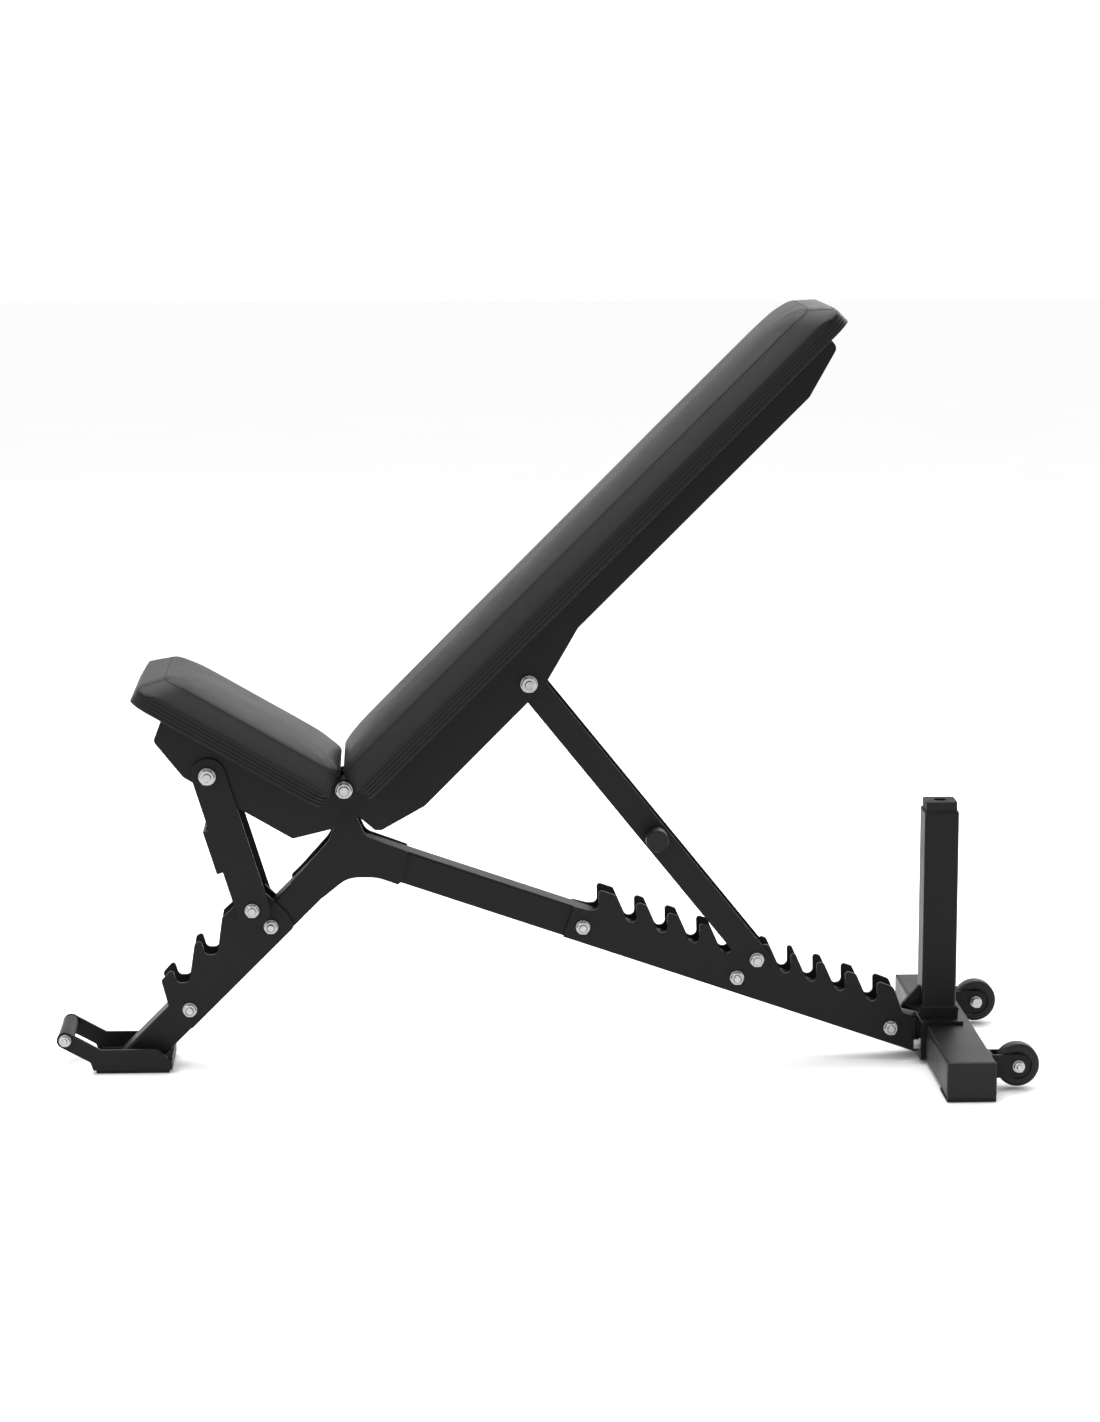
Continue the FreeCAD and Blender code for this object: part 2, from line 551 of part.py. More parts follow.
def crossbar_pieces():
    tube = box_tube(CROSSBAR_LENGTH, CROSSBAR_DEPTH, CROSSBAR_HEIGHT, TUBE_WALL, TUBE_RADIUS)
    tube.translate(vec(-CROSSBAR_LENGTH / 2, 0, 0))
    tube.rotate(vec(0, 0, 0), vec(0, 0, 1), 90)
    middle = (CROSSBAR_FRONT + CROSSBAR_DEPTH / 2, (CROSSBAR_LOW + CROSSBAR_TOP) / 2)
    tube.translate(vec(middle[0], 0, middle[1]))
    for y in (-BRACKET_BOLT_Y, BRACKET_BOLT_Y):
        tube = tube.cut(Part.makeCylinder(M8["shank"] + BOLT_CLEAR, 12,
                                          vec(CROSSBAR_FRONT - 4, y, BRACKET_BOLT_Z), vec(1, 0, 0)))
    caps = []
    feet = []
    for side in (-1, 1):
        face = side * CROSSBAR_LENGTH / 2
        low = face if side > 0 else face - CAP_THICK
        cap = Part.makeBox(CROSSBAR_DEPTH - 1, CAP_THICK, CROSSBAR_HEIGHT - 1,
                           vec(CROSSBAR_FRONT + 0.5, low, CROSSBAR_LOW + 0.5))
        outer = face + side * CAP_THICK
        cap = cap.makeFillet(1.2, [e for e in cap.Edges if abs(e.CenterOfMass.y - outer) < 0.01])
        plug_depth = 12.0
        plug_half = CROSSBAR_DEPTH / 2 - TUBE_WALL - 0.4
        plug = Part.makeBox(2 * plug_half, plug_depth, CROSSBAR_HEIGHT - 2 * TUBE_WALL - 0.8,
                            vec(middle[0] - plug_half, face - plug_depth if side > 0 else face,
                                CROSSBAR_LOW + TUBE_WALL + 0.4))
        plug = plug.makeFillet(1.0, [e for e in plug.Edges if abs(e.tangentAt(e.FirstParameter).y) > 0.99])
        caps.append(cap.fuse(plug))
        foot_length = 60.0
        foot = Part.makeBox(CROSSBAR_DEPTH, foot_length, FOOT_THICK,
                            vec(CROSSBAR_FRONT, face - foot_length if side > 0 else face, FLOOR))
        foot = foot.makeFillet(1.5, [e for e in foot.Edges if abs(e.CenterOfMass.z - FLOOR) < 0.01])
        feet.append(foot)
    return tube, group(*caps), group(*feet)


def wheel_bracket():
    """A fork of two straps and a back plate, welded behind the crossbar."""
    inner = WHEEL_WIDTH / 2 + 1.0
    back = CROSSBAR_FRONT + CROSSBAR_DEPTH
    fork = None
    for low in (-inner - FORK_THICK, inner):
        points = [
            (back, WHEEL_Z - 16.0), (WHEEL_X + 16.0, WHEEL_Z - 16.0, 15.9),
            (WHEEL_X + 16.0, WHEEL_Z + 16.0, 15.9), (back, WHEEL_Z + 16.0),
        ]
        strap = plate(points, -WHEEL_Y + low, -WHEEL_Y + low + FORK_THICK)
        strap = bore(strap, WHEEL_X, WHEEL_Z, M8["shank"] + BOLT_CLEAR)
        fork = strap if fork is None else fork.fuse(strap)
    outer = inner + FORK_THICK
    joined = Part.makeBox(FORK_THICK, 2 * outer, 32.0, vec(back, -WHEEL_Y - outer, WHEEL_Z - 16.0))
    return fork.fuse(joined)


def wheel_parts():
    """Tyre and hub about Y, turning on the axle bolt."""
    half = WHEEL_WIDTH / 2
    rim = 22.0
    face_ring = rim - 3.0
    boss = 9.0
    dish = 3.5

    def lathe(points):
        wire = rounded_wire(points)
        face = Part.Face(wire)
        shape = face.revolve(vec(0, 0, 0), vec(0, 0, 1), 360)
        shape.rotate(vec(0, 0, 0), vec(1, 0, 0), -90)
        shape.translate(vec(WHEEL_X, -WHEEL_Y, WHEEL_Z))
        return shape

    tyre = lathe([(rim, -half), (WHEEL_RADIUS, -half, 5), (WHEEL_RADIUS, half, 5), (rim, half)])
    hub_bore = M8["shank"] + RUNNING
    hub = lathe([(hub_bore, -half), (boss, -half), (boss, -half + dish), (face_ring, -half + dish),
                 (face_ring, -half), (rim, -half), (rim, half), (face_ring, half), (face_ring, half - dish),
                 (boss, half - dish), (boss, half), (hub_bore, half)])
    return tyre, hub


def axle_bolt():
    reach = WHEEL_WIDTH / 2 + 1.0 + FORK_THICK
    bolt, washers, nut = through_bolt(WHEEL_X, WHEEL_Z, M8, reach)
    shape = group(bolt, washers, nut)
    shape.translate(vec(0, -WHEEL_Y, 0))
    return shape


# ---------------------------------------------------------------- seat and backrest
def seat_plate():
    tip = -(SEAT_START + SEAT_LENGTH - 51.0)
    points = [
        (tip, -BOARD_DROP), (tip, -40.0, 4), (tip + 5.0, -71.0, 8), (tip + 65.0, -94.5, 20),
        (-27.0, -95.5, 5), (13.5, -57.0, 10), (LUG_RADIUS, 0.0), (LUG_RADIUS, LUG_RADIUS, LUG_RADIUS - 0.1),
        (-LUG_RADIUS, LUG_RADIUS, LUG_RADIUS - 0.1), (-LUG_RADIUS, -BOARD_DROP, 3),
    ]
    shape = plate(points, -SEAT_PLATE_IN - SEAT_PLATE_THICK, -SEAT_PLATE_IN)
    shape = bore(shape, 0, 0, BUSH_RADIUS + RUNNING)
    shape = bore(shape, -STRUT_TOP[0], STRUT_TOP[1], M12["shank"] + BOLT_CLEAR)
    return in_seat(shape)


def back_plate():
    end = BACK_START + BACK_LENGTH
    points = [
        (LUG_RADIUS, -BOARD_DROP, 3), (LUG_RADIUS, LUG_RADIUS, LUG_RADIUS - 0.1),
        (-LUG_RADIUS, LUG_RADIUS, LUG_RADIUS - 0.1), (-LUG_RADIUS, 0.0), (-10.5, -70.0, 6), (-4.0, -76.5, 5),
        (62.0, -95.0, 20), (295.0, -94.0, 10), (384.0, -70.0, 20), (end - 106.0, -70.0, 15),
        (end - 32.0, -49.0, 10), (end - 31.0, -36.0, 6), (end - 36.0, -BOARD_DROP),
    ]
    shape = plate(points, -BACK_PLATE_IN - BACK_PLATE_THICK, -BACK_PLATE_IN)
    shape = bore(shape, 0, 0, BUSH_RADIUS + RUNNING)
    shape = bore(shape, PROP_TOP[0], PROP_TOP[1], M12["shank"] + BOLT_CLEAR)
    return in_back(shape)


def board(start, length):
    """Plywood base with rounded corners, level in its own frame, running along +X."""
    shape = Part.makeBox(length, BOARD_WIDTH, BOARD_THICK, vec(start, -BOARD_WIDTH / 2, -BOARD_DROP))
    upright = [e for e in shape.Edges if abs(e.tangentAt(e.FirstParameter).z) > 0.99]
    return shape.makeFillet(BOARD_CORNER, upright)


def pad(start, length):
    """Plain cushion; its near end is cut back so that the two pads can close up."""
    low = -BOARD_DROP + BOARD_THICK
    high = low + PAD_THICK
    close = math.tan(math.radians((180.0 - BACK_STOPS[0] - SEAT_ANGLE) / 2 - 1.5))
    end = start + length
    points = [(start, low), (start, start * close), (high / close, high),
              (end - 14.0, high), (end - 2.0, low)]
    return plate(points, -PAD_WIDTH / 2, PAD_WIDTH / 2)


def flip_x(shape):
    return shape.mirror(vec(0, 0, 0), vec(1, 0, 0))


def web(start, end, half):
    return Part.makeBox(end - start, 2 * half, WEB_THICK, vec(start, -half, -BOARD_DROP - WEB_THICK))


def link_frame(shape, top, low):
    """Place a link drawn along +X from its top pivot so that it runs from top to low."""
    turn = math.degrees(math.atan2(low[1] - top[1], low[0] - top[0]))
    shape.rotate(vec(0, 0, 0), vec(0, 1, 0), -turn)
    shape.translate(vec(top[0], 0, top[1]))
    return shape


def strut_flange():
    r = STRUT_BACK - 1.0
    points = [
        (-r, -STRUT_FRONT, STRUT_FRONT - 1), (STRUT_LENGTH + r, -STRUT_FRONT, STRUT_FRONT - 1),
        (STRUT_LENGTH + r, STRUT_BACK, r - 1), (-r, STRUT_BACK, r - 1),
    ]
    shape = plate(points, -STRUT_IN - STRUT_THICK, -STRUT_IN)
    shape = bore(shape, 0, 0, M12["shank"] + RUNNING)
    shape = bore(shape, STRUT_LENGTH, 0, M10["shank"] + BOLT_CLEAR)
    return link_frame(shape, STRUT_PIVOT, STRUT_PIN)


def strut_grip():
    """Folded plate across the front of the strut, gripped to lift the seat."""
    width = 2 * (STRUT_IN + STRUT_THICK)
    shape = Part.makeBox(62.0, width, 4.0, vec(72.0, -width / 2, -STRUT_FRONT - 8.5))
    ends = [Part.makeBox(62.0, STRUT_THICK, 4.5, vec(72.0, y, -STRUT_FRONT - 4.5))
            for y in (-width / 2, width / 2 - STRUT_THICK)]
    shape = shape.fuse(ends[0]).fuse(ends[1])
    return link_frame(shape, STRUT_PIVOT, STRUT_PIN)


def lock_pin(pin, inner_face, outer_face):
    """Pin on both link flanges, parted where it would cross the ladder plates."""
    x, z = pin
    middle = rod(x, z, PIN_RADIUS, -LADDER_IN + GAP, LADDER_IN - GAP)
    tip = outer_face + WASHER_THICK + M10["nut"] + 3.0
    stub = rod(x, z, PIN_RADIUS, -inner_face, -LADDER_OUT - GAP)
    stub = stub.fuse(rod(x, z, M10["shank"], -tip, -inner_face))
    other = stub.mirror(vec(0, 0, 0), vec(0, 1, 0))
    pins = group(middle, stub, other)
    fixings = []
    ring = washer(x, z, M10, -outer_face - WASHER_THICK)
    nut = hexagon(x, z, M10["flats"], -outer_face - WASHER_THICK - M10["nut"], -outer_face - WASHER_THICK,
                  M10["shank"] + 0.02)
    for shape in (ring, nut):
        fixings += [shape, shape.mirror(vec(0, 0, 0), vec(0, 1, 0))]
    return pins, group(*fixings)


def prop_channel():
    """Two flanges joined by a short web on the lower side near the top."""
    def flange():
        r = PROP_HALF
        points = [(-r, -r, r - 0.1), (PROP_LENGTH + r, -r, r - 0.1),
                  (PROP_LENGTH + r, r, r - 0.1), (-r, r, r - 0.1)]
        return plate(points, -PROP_IN - PROP_THICK, -PROP_IN)

    left, right = both_sides(flange)
    width = 2 * PROP_IN
    joined = Part.makeBox(PROP_WEB_END - 26.0, width, PROP_THICK, vec(26.0, -width / 2, -PROP_HALF))
    shape = left.fuse(right).fuse(joined).removeSplitter()
    shape = bore(shape, 0, 0, PROP_BUSH_RADIUS + RUNNING)
    for along in (PROP_HANDLE, PROP_LENGTH):
        shape = bore(shape, along, 0, M10["shank"] + BOLT_CLEAR)
    return link_frame(shape, PROP_PIVOT, PROP_PIN)


def prop_handle():
    """Round grips either side of the prop on one cross bar."""
    outer = PROP_IN + PROP_THICK
    tip = outer + KNOB_LENGTH
    bar = rod(PROP_HANDLE, 0, M10["shank"], -tip + 8, tip - 8)
    grips = []
    for low in (-tip, outer):
        grip = rod(PROP_HANDLE, 0, KNOB_RADIUS, low, low + KNOB_LENGTH)
        grip = grip.makeFillet(2.5, [e for e in grip.Edges if e.Closed])
        grips.append(grip.cut(bar))
    return link_frame(bar, PROP_PIVOT, PROP_PIN), link_frame(group(*grips), PROP_PIVOT, PROP_PIN)


# ---------------------------------------------------------------- build
def build_frame():
    left, right, base, wall, rubber, tube = front_foot()
    save("front_foot_side_left", left)
    save("front_foot_side_right", right)
    save("front_foot_base", base)
    save("front_foot_rear_wall", wall)
    save("front_foot_rubber", rubber)
    save("front_handle_tube", tube)
    save("front_handle_bolt", group(*through_bolt(HANDLE[0], HANDLE[1], M8, FOOT_HALF)))
    save("leg_tube", leg_tube())
    save("rear_beam_tube", rear_beam_tube())
    plates = (("pivot_gusset", gusset), ("front_ladder", front_ladder), ("rear_ladder", rear_ladder))
    for name, maker in plates:
        left, right = both_sides(maker)
        save(name + "_left", left)
        save(name + "_right", right)
    kits = [through_bolt(x, z, M10, LADDER_OUT) for x, z in FRONT_BOLTS + REAR_BOLTS]
    save("ladder_bolts", group(*[kit[0] for kit in kits]))
    save("ladder_washers", group(*[kit[1] for kit in kits]))
    save("ladder_nuts", group(*[kit[2] for kit in kits]))
    face = BACK_PLATE_IN + BACK_PLATE_THICK + 0.7
    shaft = rod(0, 0, SHAFT_RADIUS, -face, face)
    tip = face + WASHER_THICK + M12["nut"] + 3.0
    save("pivot_shaft", shaft.fuse(rod(0, 0, M12["shank"], -tip, tip)))
    fixings = []
    for shape in (washer(0, 0, M12, -face - WASHER_THICK),
                  hexagon(0, 0, M12["flats"], -face - WASHER_THICK - M12["nut"], -face - WASHER_THICK,
                          M12["shank"] + 0.02)):
        fixings += [shape, shape.mirror(vec(0, 0, 0), vec(0, 1, 0))]
    save("pivot_fixings", group(*fixings))
    save("rear_bracket", rear_bracket())
    save("bracket_bolts", bracket_bolts())
    post, bumper, collar, rib = post_pieces()
    save("post_tube", post)
    save("post_bumper", bumper)
    save("post_collar", collar)
    save("post_rib", rib)
    tube, caps, feet = crossbar_pieces()
    save("crossbar_tube", tube)
    save("crossbar_end_caps", caps)
    save("crossbar_feet", feet)
    for name, shape in zip(("left", "right"), both_sides(wheel_bracket)):
        save("wheel_bracket_" + name, shape)
    save("wheel_axle_bolts", group(*both_sides(axle_bolt)))
    tyre, hub = wheel_parts()
    for name, shape in (("wheel_tyre", tyre), ("wheel_hub", hub)):
        save(name + "_left", shape)
        save(name + "_right", shape.mirror(vec(0, 0, 0), vec(0, 1, 0)))


def build_seat():
    left, right = both_sides(seat_plate)
    save("seat_plate_left", left)
    save("seat_plate_right", right)
    seat_web = flip_x(web(20.0, SEAT_START + SEAT_LENGTH - 50.0, SEAT_PLATE_IN))
    save("seat_web", in_seat(seat_web))
    save("seat_board", in_seat(flip_x(board(SEAT_START, SEAT_LENGTH))))
    save("seat_pad", in_seat(flip_x(pad(SEAT_START, SEAT_LENGTH))))
    outer = STRUT_IN + STRUT_THICK
    save("seat_strut_bolt", group(*through_bolt(STRUT_PIVOT[0], STRUT_PIVOT[1], M12, outer, GAP)))
    left, right = both_sides(strut_flange)
    save("seat_strut_left", left)
    save("seat_strut_right", right)
    save("seat_strut_grip", strut_grip())
    pins, fixings = lock_pin(STRUT_PIN, STRUT_IN, outer)
    save("seat_lock_pin", pins)
    save("seat_lock_fixings", fixings)


def build_back():
    left, right = both_sides(back_plate)
    save("back_plate_left", left)
    save("back_plate_right", right)
    end = BACK_START + BACK_LENGTH
    save("back_web", in_back(web(26.0, end - 36.0, BACK_PLATE_IN)))
    save("back_board", in_back(board(BACK_START, BACK_LENGTH)))
    save("back_pad", in_back(pad(BACK_START, BACK_LENGTH)))
    outer = BACK_PLATE_IN + BACK_PLATE_THICK
    save("prop_pivot_bolt", group(*through_bolt(PROP_PIVOT[0], PROP_PIVOT[1], M12, outer)))
    bush_half = BACK_PLATE_IN - 0.4
    bush = rod(PROP_PIVOT[0], PROP_PIVOT[1], PROP_BUSH_RADIUS, -bush_half, bush_half)
    save("prop_bush", bore(bush, PROP_PIVOT[0], PROP_PIVOT[1], M12["shank"] + RUNNING))
    sleeve = rod(0, 0, BUSH_RADIUS, -BACK_PLATE_IN - BACK_PLATE_THICK - 0.3, -LADDER_OUT - GAP)
    sleeve = bore(sleeve, 0, 0, SHAFT_RADIUS + RUNNING)
    save("pivot_bushes", group(sleeve, sleeve.mirror(vec(0, 0, 0), vec(0, 1, 0))))
    save("prop_channel", prop_channel())
    bar, grips = prop_handle()
    save("prop_handle_bar", bar)
    save("prop_handle_grips", grips)
    pins, fixings = lock_pin(PROP_PIN, PROP_IN, PROP_IN + PROP_THICK)
    save("prop_lock_pin", pins)
    save("prop_lock_fixings", fixings)


os.makedirs("parts", exist_ok=True)
build_frame()
build_seat()
build_back()
print("prop pivot", PROP_PIVOT, "pin", PROP_PIN)
print("strut pivot", STRUT_PIVOT, "pin", STRUT_PIN)
print("shift", SHIFT)
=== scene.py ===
# %% [markdown]
# # Adjustable weight bench
# A padded backrest and a seat tilt on one pivot of a welded steel frame. The steel comes from the
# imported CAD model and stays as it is. This notebook adds what CAD leaves plain: the upholstered
# pads with their sewn borders, the weld beads, the nut collars and every surface finish.

# %% Load the frame
import json
import math
import bmesh
import bpy
from mathutils import Matrix, Vector, noise


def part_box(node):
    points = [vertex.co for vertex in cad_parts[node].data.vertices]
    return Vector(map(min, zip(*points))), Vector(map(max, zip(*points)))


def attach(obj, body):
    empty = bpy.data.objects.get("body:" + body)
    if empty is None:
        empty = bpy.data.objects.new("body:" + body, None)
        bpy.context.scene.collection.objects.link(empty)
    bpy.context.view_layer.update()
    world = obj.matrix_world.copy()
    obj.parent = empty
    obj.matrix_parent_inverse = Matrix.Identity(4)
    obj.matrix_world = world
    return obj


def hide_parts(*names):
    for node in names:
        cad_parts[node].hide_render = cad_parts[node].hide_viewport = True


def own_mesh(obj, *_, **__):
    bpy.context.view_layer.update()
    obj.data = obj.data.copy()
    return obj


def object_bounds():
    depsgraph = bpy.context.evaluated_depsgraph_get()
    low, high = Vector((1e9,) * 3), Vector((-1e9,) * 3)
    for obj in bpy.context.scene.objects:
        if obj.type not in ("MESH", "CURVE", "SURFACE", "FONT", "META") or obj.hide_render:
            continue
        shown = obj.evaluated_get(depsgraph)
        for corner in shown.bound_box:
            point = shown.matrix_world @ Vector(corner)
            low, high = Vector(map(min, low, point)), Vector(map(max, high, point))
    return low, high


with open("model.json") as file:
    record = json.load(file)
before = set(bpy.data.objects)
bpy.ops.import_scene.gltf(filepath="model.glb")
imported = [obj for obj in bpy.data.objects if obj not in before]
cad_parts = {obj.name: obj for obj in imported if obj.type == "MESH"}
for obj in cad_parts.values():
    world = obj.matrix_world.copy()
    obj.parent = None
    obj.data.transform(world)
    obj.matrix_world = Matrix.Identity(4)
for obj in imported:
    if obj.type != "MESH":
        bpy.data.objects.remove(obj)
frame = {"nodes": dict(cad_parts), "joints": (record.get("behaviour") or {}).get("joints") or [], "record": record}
cad_low, cad_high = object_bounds()
joints = {joint["name"]: joint for joint in frame["joints"]}
pivot = Vector(joints["backrest_raise"]["pos_m"])
print("nodes", len(frame["nodes"]), "pivot", tuple(round(v, 4) for v in pivot))

# %% [markdown]
# ## Camera
# A long lens looks almost square at the bench's side, a little from above. The place is given from
# the main pivot, because that is the point that every moving part turns about.

# %% Camera
CAMERA_FROM_PIVOT = Vector((0.0618, -4.9032, 0.9215))
CAMERA_DOWN = 9.509
CAMERA_TURN = 2.604
camera_data = bpy.data.cameras.new("camera")
camera_data.sensor_width = 36.0
camera_data.lens = 91.14
camera_data.clip_end = 60.0
camera = bpy.data.objects.new("camera", camera_data)
bpy.context.scene.collection.objects.link(camera)
camera.location = pivot + CAMERA_FROM_PIVOT
camera.rotation_euler = (math.radians(90 - CAMERA_DOWN), 0, math.radians(-CAMERA_TURN))
bpy.context.scene.camera = camera
print("camera", tuple(round(v, 3) for v in camera.location))

# %% [markdown]
# ## Helpers for modelling
# An operator works on whatever is selected, so each step starts with nothing selected, and then
# selects the one piece it needs. A finished piece is joined to its body and keeps its place in its
# mesh, with its object at the origin.

# %% Selection and finishing helpers


def only(piece):
    """Select this object alone and make it active."""
    if bpy.context.object and bpy.context.object.mode != "OBJECT":
        bpy.ops.object.mode_set(mode="OBJECT")
    bpy.ops.object.select_all(action="DESELECT")
    piece.select_set(True)
    bpy.context.view_layer.objects.active = piece
    return piece


def place(piece, matrix):
    """Put the piece where the matrix says, in its mesh, with the object at the origin."""
    only(piece)
    bpy.ops.object.transform_apply(location=True, rotation=True, scale=True)
    piece.data.transform(matrix)
    piece.data.update()
    return piece


def outwards(piece, merge=1e-5):
    """Merge doubles and turn every face outwards."""
    only(piece)
    bpy.ops.object.mode_set(mode="EDIT")
    bpy.ops.mesh.select_all(action="SELECT")
    bpy.ops.mesh.remove_doubles(threshold=merge)
    bpy.ops.mesh.normals_make_consistent(inside=False)
    bpy.ops.object.mode_set(mode="OBJECT")
    return piece


def finish_piece(piece, name, body, surface):
    """Name the piece, give it its finish and let it ride on its body."""
    piece.name = name
    piece.data.name = name
    piece.data.materials.clear()
    piece.data.materials.append(surface)
    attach(piece, body)
    print(name, "on", body, "faces", len(piece.data.polygons))
    return piece


def local_box(node, matrix):
    """The node's box along the axes of a tilted part, in metres."""
    back = matrix.inverted()
    points = [back @ vertex.co for vertex in frame["nodes"][node].data.vertices]
    low = Vector([min(point[i] for point in points) for i in range(3)])
    high = Vector([max(point[i] for point in points) for i in range(3)])
    return low, high


def loose_parts(node):
    """The lowest and highest corner of each separate solid of a CAD node."""
    mesh = bmesh.new()
    mesh.from_mesh(frame["nodes"][node].data)
    bmesh.ops.remove_doubles(mesh, verts=mesh.verts, dist=1e-5)
    seen = set()
    parts = []
    for start in mesh.verts:
        if start in seen:
            continue
        stack = [start]
        seen.add(start)
        points = []
        while stack:
            vertex = stack.pop()
            points.append(vertex.co.copy())
            for edge in vertex.link_edges:
                other = edge.other_vert(vertex)
                if other not in seen:
                    seen.add(other)
                    stack.append(other)
        low = Vector([min(point[i] for point in points) for i in range(3)])
        high = Vector([max(point[i] for point in points) for i in range(3)])
        parts.append((low, high))
    mesh.free()
    return parts


# %% [markdown]
# ## Finishes
# Shader maths reads best as plain sums. `Wire` wraps one socket, and adding or multiplying wires
# adds the Math nodes. `Finish.node` makes any other node. All patterns read Object coordinates in
# metres, so a noise scale of 1000 means features about a millimetre across.

# %% Wires and finishes


class Wire:
    """A socket that can take part in sums."""

    def __init__(self, finish, socket):
        self.finish = finish
        self.socket = socket

    def _sum(self, operation, first, second):
        node = self.finish.node("ShaderNodeMath", {"operation": operation}, {0: first, 1: second})
        return Wire(self.finish, node.outputs[0])

    def __add__(self, other):
        return self._sum("ADD", self, other)

    def __radd__(self, other):
        return self._sum("ADD", other, self)

    def __sub__(self, other):
        return self._sum("SUBTRACT", self, other)

    def __rsub__(self, other):
        return self._sum("SUBTRACT", other, self)

    def __mul__(self, other):
        return self._sum("MULTIPLY", self, other)

    def __rmul__(self, other):
        return self._sum("MULTIPLY", other, self)


class Finish:
    """A material with a Principled shader, built one node at a time."""

    def __init__(self, name, **constants):
        self.material = bpy.data.materials.new(name)
        self.material.use_nodes = True
        self.tree = self.material.node_tree
        self.shader = self.tree.nodes["Principled BSDF"]
        for socket, value in constants.items():
            self.shader.inputs[socket.replace("_", " ")].default_value = value
        self.place = self.node("ShaderNodeTexCoord").outputs["Object"]

    def node(self, kind, settings=None, sockets=None):
        made = self.tree.nodes.new(kind)
        for key, value in (settings or {}).items():
            setattr(made, key, value)
        for key, value in (sockets or {}).items():
            self.feed(made.inputs[key], value)
        return made

    def feed(self, socket, value):
        if isinstance(value, Wire):
            value = value.socket
        if isinstance(value, bpy.types.NodeSocket):
            self.tree.links.new(value, socket)
        else:
            socket.default_value = value

    def noise(self, scale, detail=3.0, rough=0.55):
        made = self.node("ShaderNodeTexNoise", None, {
            "Vector": self.place, "Scale": scale, "Detail": detail, "Roughness": rough})
        return Wire(self, made.outputs["Fac"])

    def cells(self, scale, feature="F1"):
        made = self.node("ShaderNodeTexVoronoi", {"feature": feature}, {
            "Vector": self.place, "Scale": scale})
        return Wire(self, made.outputs["Distance"])

    def spread(self, wire, low, high, new_low, new_high):
        """Map a range of values onto another, clamped."""
        made = self.node("ShaderNodeMapRange", {"clamp": True}, {
            "Value": wire, "From Min": low, "From Max": high, "To Min": new_low, "To Max": new_high})
        return Wire(self, made.outputs["Result"])

    def blend(self, factor, first, second):
        """Between two colours."""
        made = self.node("ShaderNodeMix", {"data_type": "RGBA"}, {
            "Factor": factor, 6: (*first, 1), 7: (*second, 1)})
        return Wire(self, made.outputs[2])

    def bump(self, height, strength, distance):
        made = self.node("ShaderNodeBump", None, {
            "Height": height, "Strength": strength, "Distance": distance})
        self.feed(self.shader.inputs["Normal"], made.outputs["Normal"])

    def wear(self, colour, roughness):
        self.feed(self.shader.inputs["Base Color"], colour)
        self.feed(self.shader.inputs["Roughness"], roughness)
        return self.material


# %% [markdown]
# The frame has a satin black powder coat: baked powder leaves a fine orange peel, and handling
# leaves faint duller patches. A little colour variation keeps it from looking like flat black.

# %% Powder coat


def powder_coat():
    finish = Finish("powder_coat", Specular_IOR_Level=0.16)
    peel = finish.noise(1400.0, 2.0)
    patches = finish.noise(9.0, 4.0)
    specks = finish.spread(finish.noise(420.0, 2.0), 0.66, 0.74, 0.0, 1.0)
    finish.bump(peel + 0.6 * finish.noise(380.0, 2.0), 0.35, 0.00025)
    colour = finish.blend(patches * 0.6 + specks * 0.25, (0.0030, 0.0030, 0.0033), (0.0075, 0.0075, 0.0082))
    return finish.wear(colour, finish.spread(patches + 0.25 * peel, 0.4, 0.9, 0.36, 0.52))


coat = powder_coat()
print("made", coat.name)

# %% [markdown]
# The pads are covered in synthetic leather. Its grain is a net of shallow creases around pebbles
# about a millimetre across, with longer, softer unevenness from the foam beneath. The pebbles
# come from a cell texture, the creases from the distance to the cell edges. The colour is also
# darker in the creases: painted shade for the shadow in the grain's valleys.

# %% Synthetic leather


def leather():
    finish = Finish("synthetic_leather", Specular_IOR_Level=0.19)
    pebbles = finish.cells(820.0, "DISTANCE_TO_EDGE")
    creases = finish.spread(pebbles, 0.0, 0.12, 0.0, 1.0)
    fine = finish.noise(2300.0, 2.0)
    soft = finish.noise(38.0, 3.0)
    patches = finish.noise(6.0, 3.0)
    finish.bump(creases * 0.5 + fine * 0.25 + soft * 2.2, 0.42, 0.0004)
    # painted shade: the colour is darker where the creases are, in place of shadow in the grain's valleys; the
    # patches are random tone
    colour = finish.blend(creases * 0.35 + patches * 0.5, (0.0026, 0.0026, 0.0029), (0.0068, 0.0067, 0.0072))
    return finish.wear(colour, finish.spread(patches + 0.3 * soft - 0.12 * creases, 0.3, 0.8, 0.33, 0.47))


cover = leather()
print("made", cover.name)

# %% [markdown]
# Thread and welting are a touch lighter and duller than the cover. Twisted strands catch the light
# unevenly, and a very fine noise in bump and roughness stands for them.

# %% Thread


def thread():
    finish = Finish("sewing_thread", Specular_IOR_Level=0.2)
    strands = finish.noise(2600.0, 2.0)
    finish.bump(strands, 0.5, 0.0002)
    colour = finish.blend(strands, (0.004, 0.004, 0.0043), (0.011, 0.011, 0.0115))
    return finish.wear(colour, finish.spread(strands, 0.3, 0.7, 0.5, 0.7))


stitching = thread()
print("made", stitching.name)

# %% [markdown]
# Bolts, nuts and washers are zinc plated: bright, slightly blue, with cloudy passivation and fine
# scuffs. Metallic stays at one, and only colour and roughness vary.

# %% Zinc plate


def zinc():
    finish = Finish("zinc_plate", Metallic=1.0)
    clouds = finish.noise(90.0, 3.0)
    scuffs = finish.noise(1500.0, 2.0)
    finish.bump(scuffs + 0.5 * clouds, 0.12, 0.0001)
    colour = finish.blend(clouds, (0.26, 0.265, 0.275), (0.50, 0.50, 0.495))
    return finish.wear(colour, finish.spread(clouds + 0.4 * scuffs, 0.4, 1.0, 0.2, 0.38))


plating = zinc()
print("made", plating.name)

# %% [markdown]
# Feet and bumper are matt rubber with a dusty bloom. Caps, grips and hubs are moulded plastic with a
# fine spark texture. The tyres are smooth urethane, polished by rolling. One function makes all
# three, because they differ only in numbers.

# %% Rubber, plastic and urethane


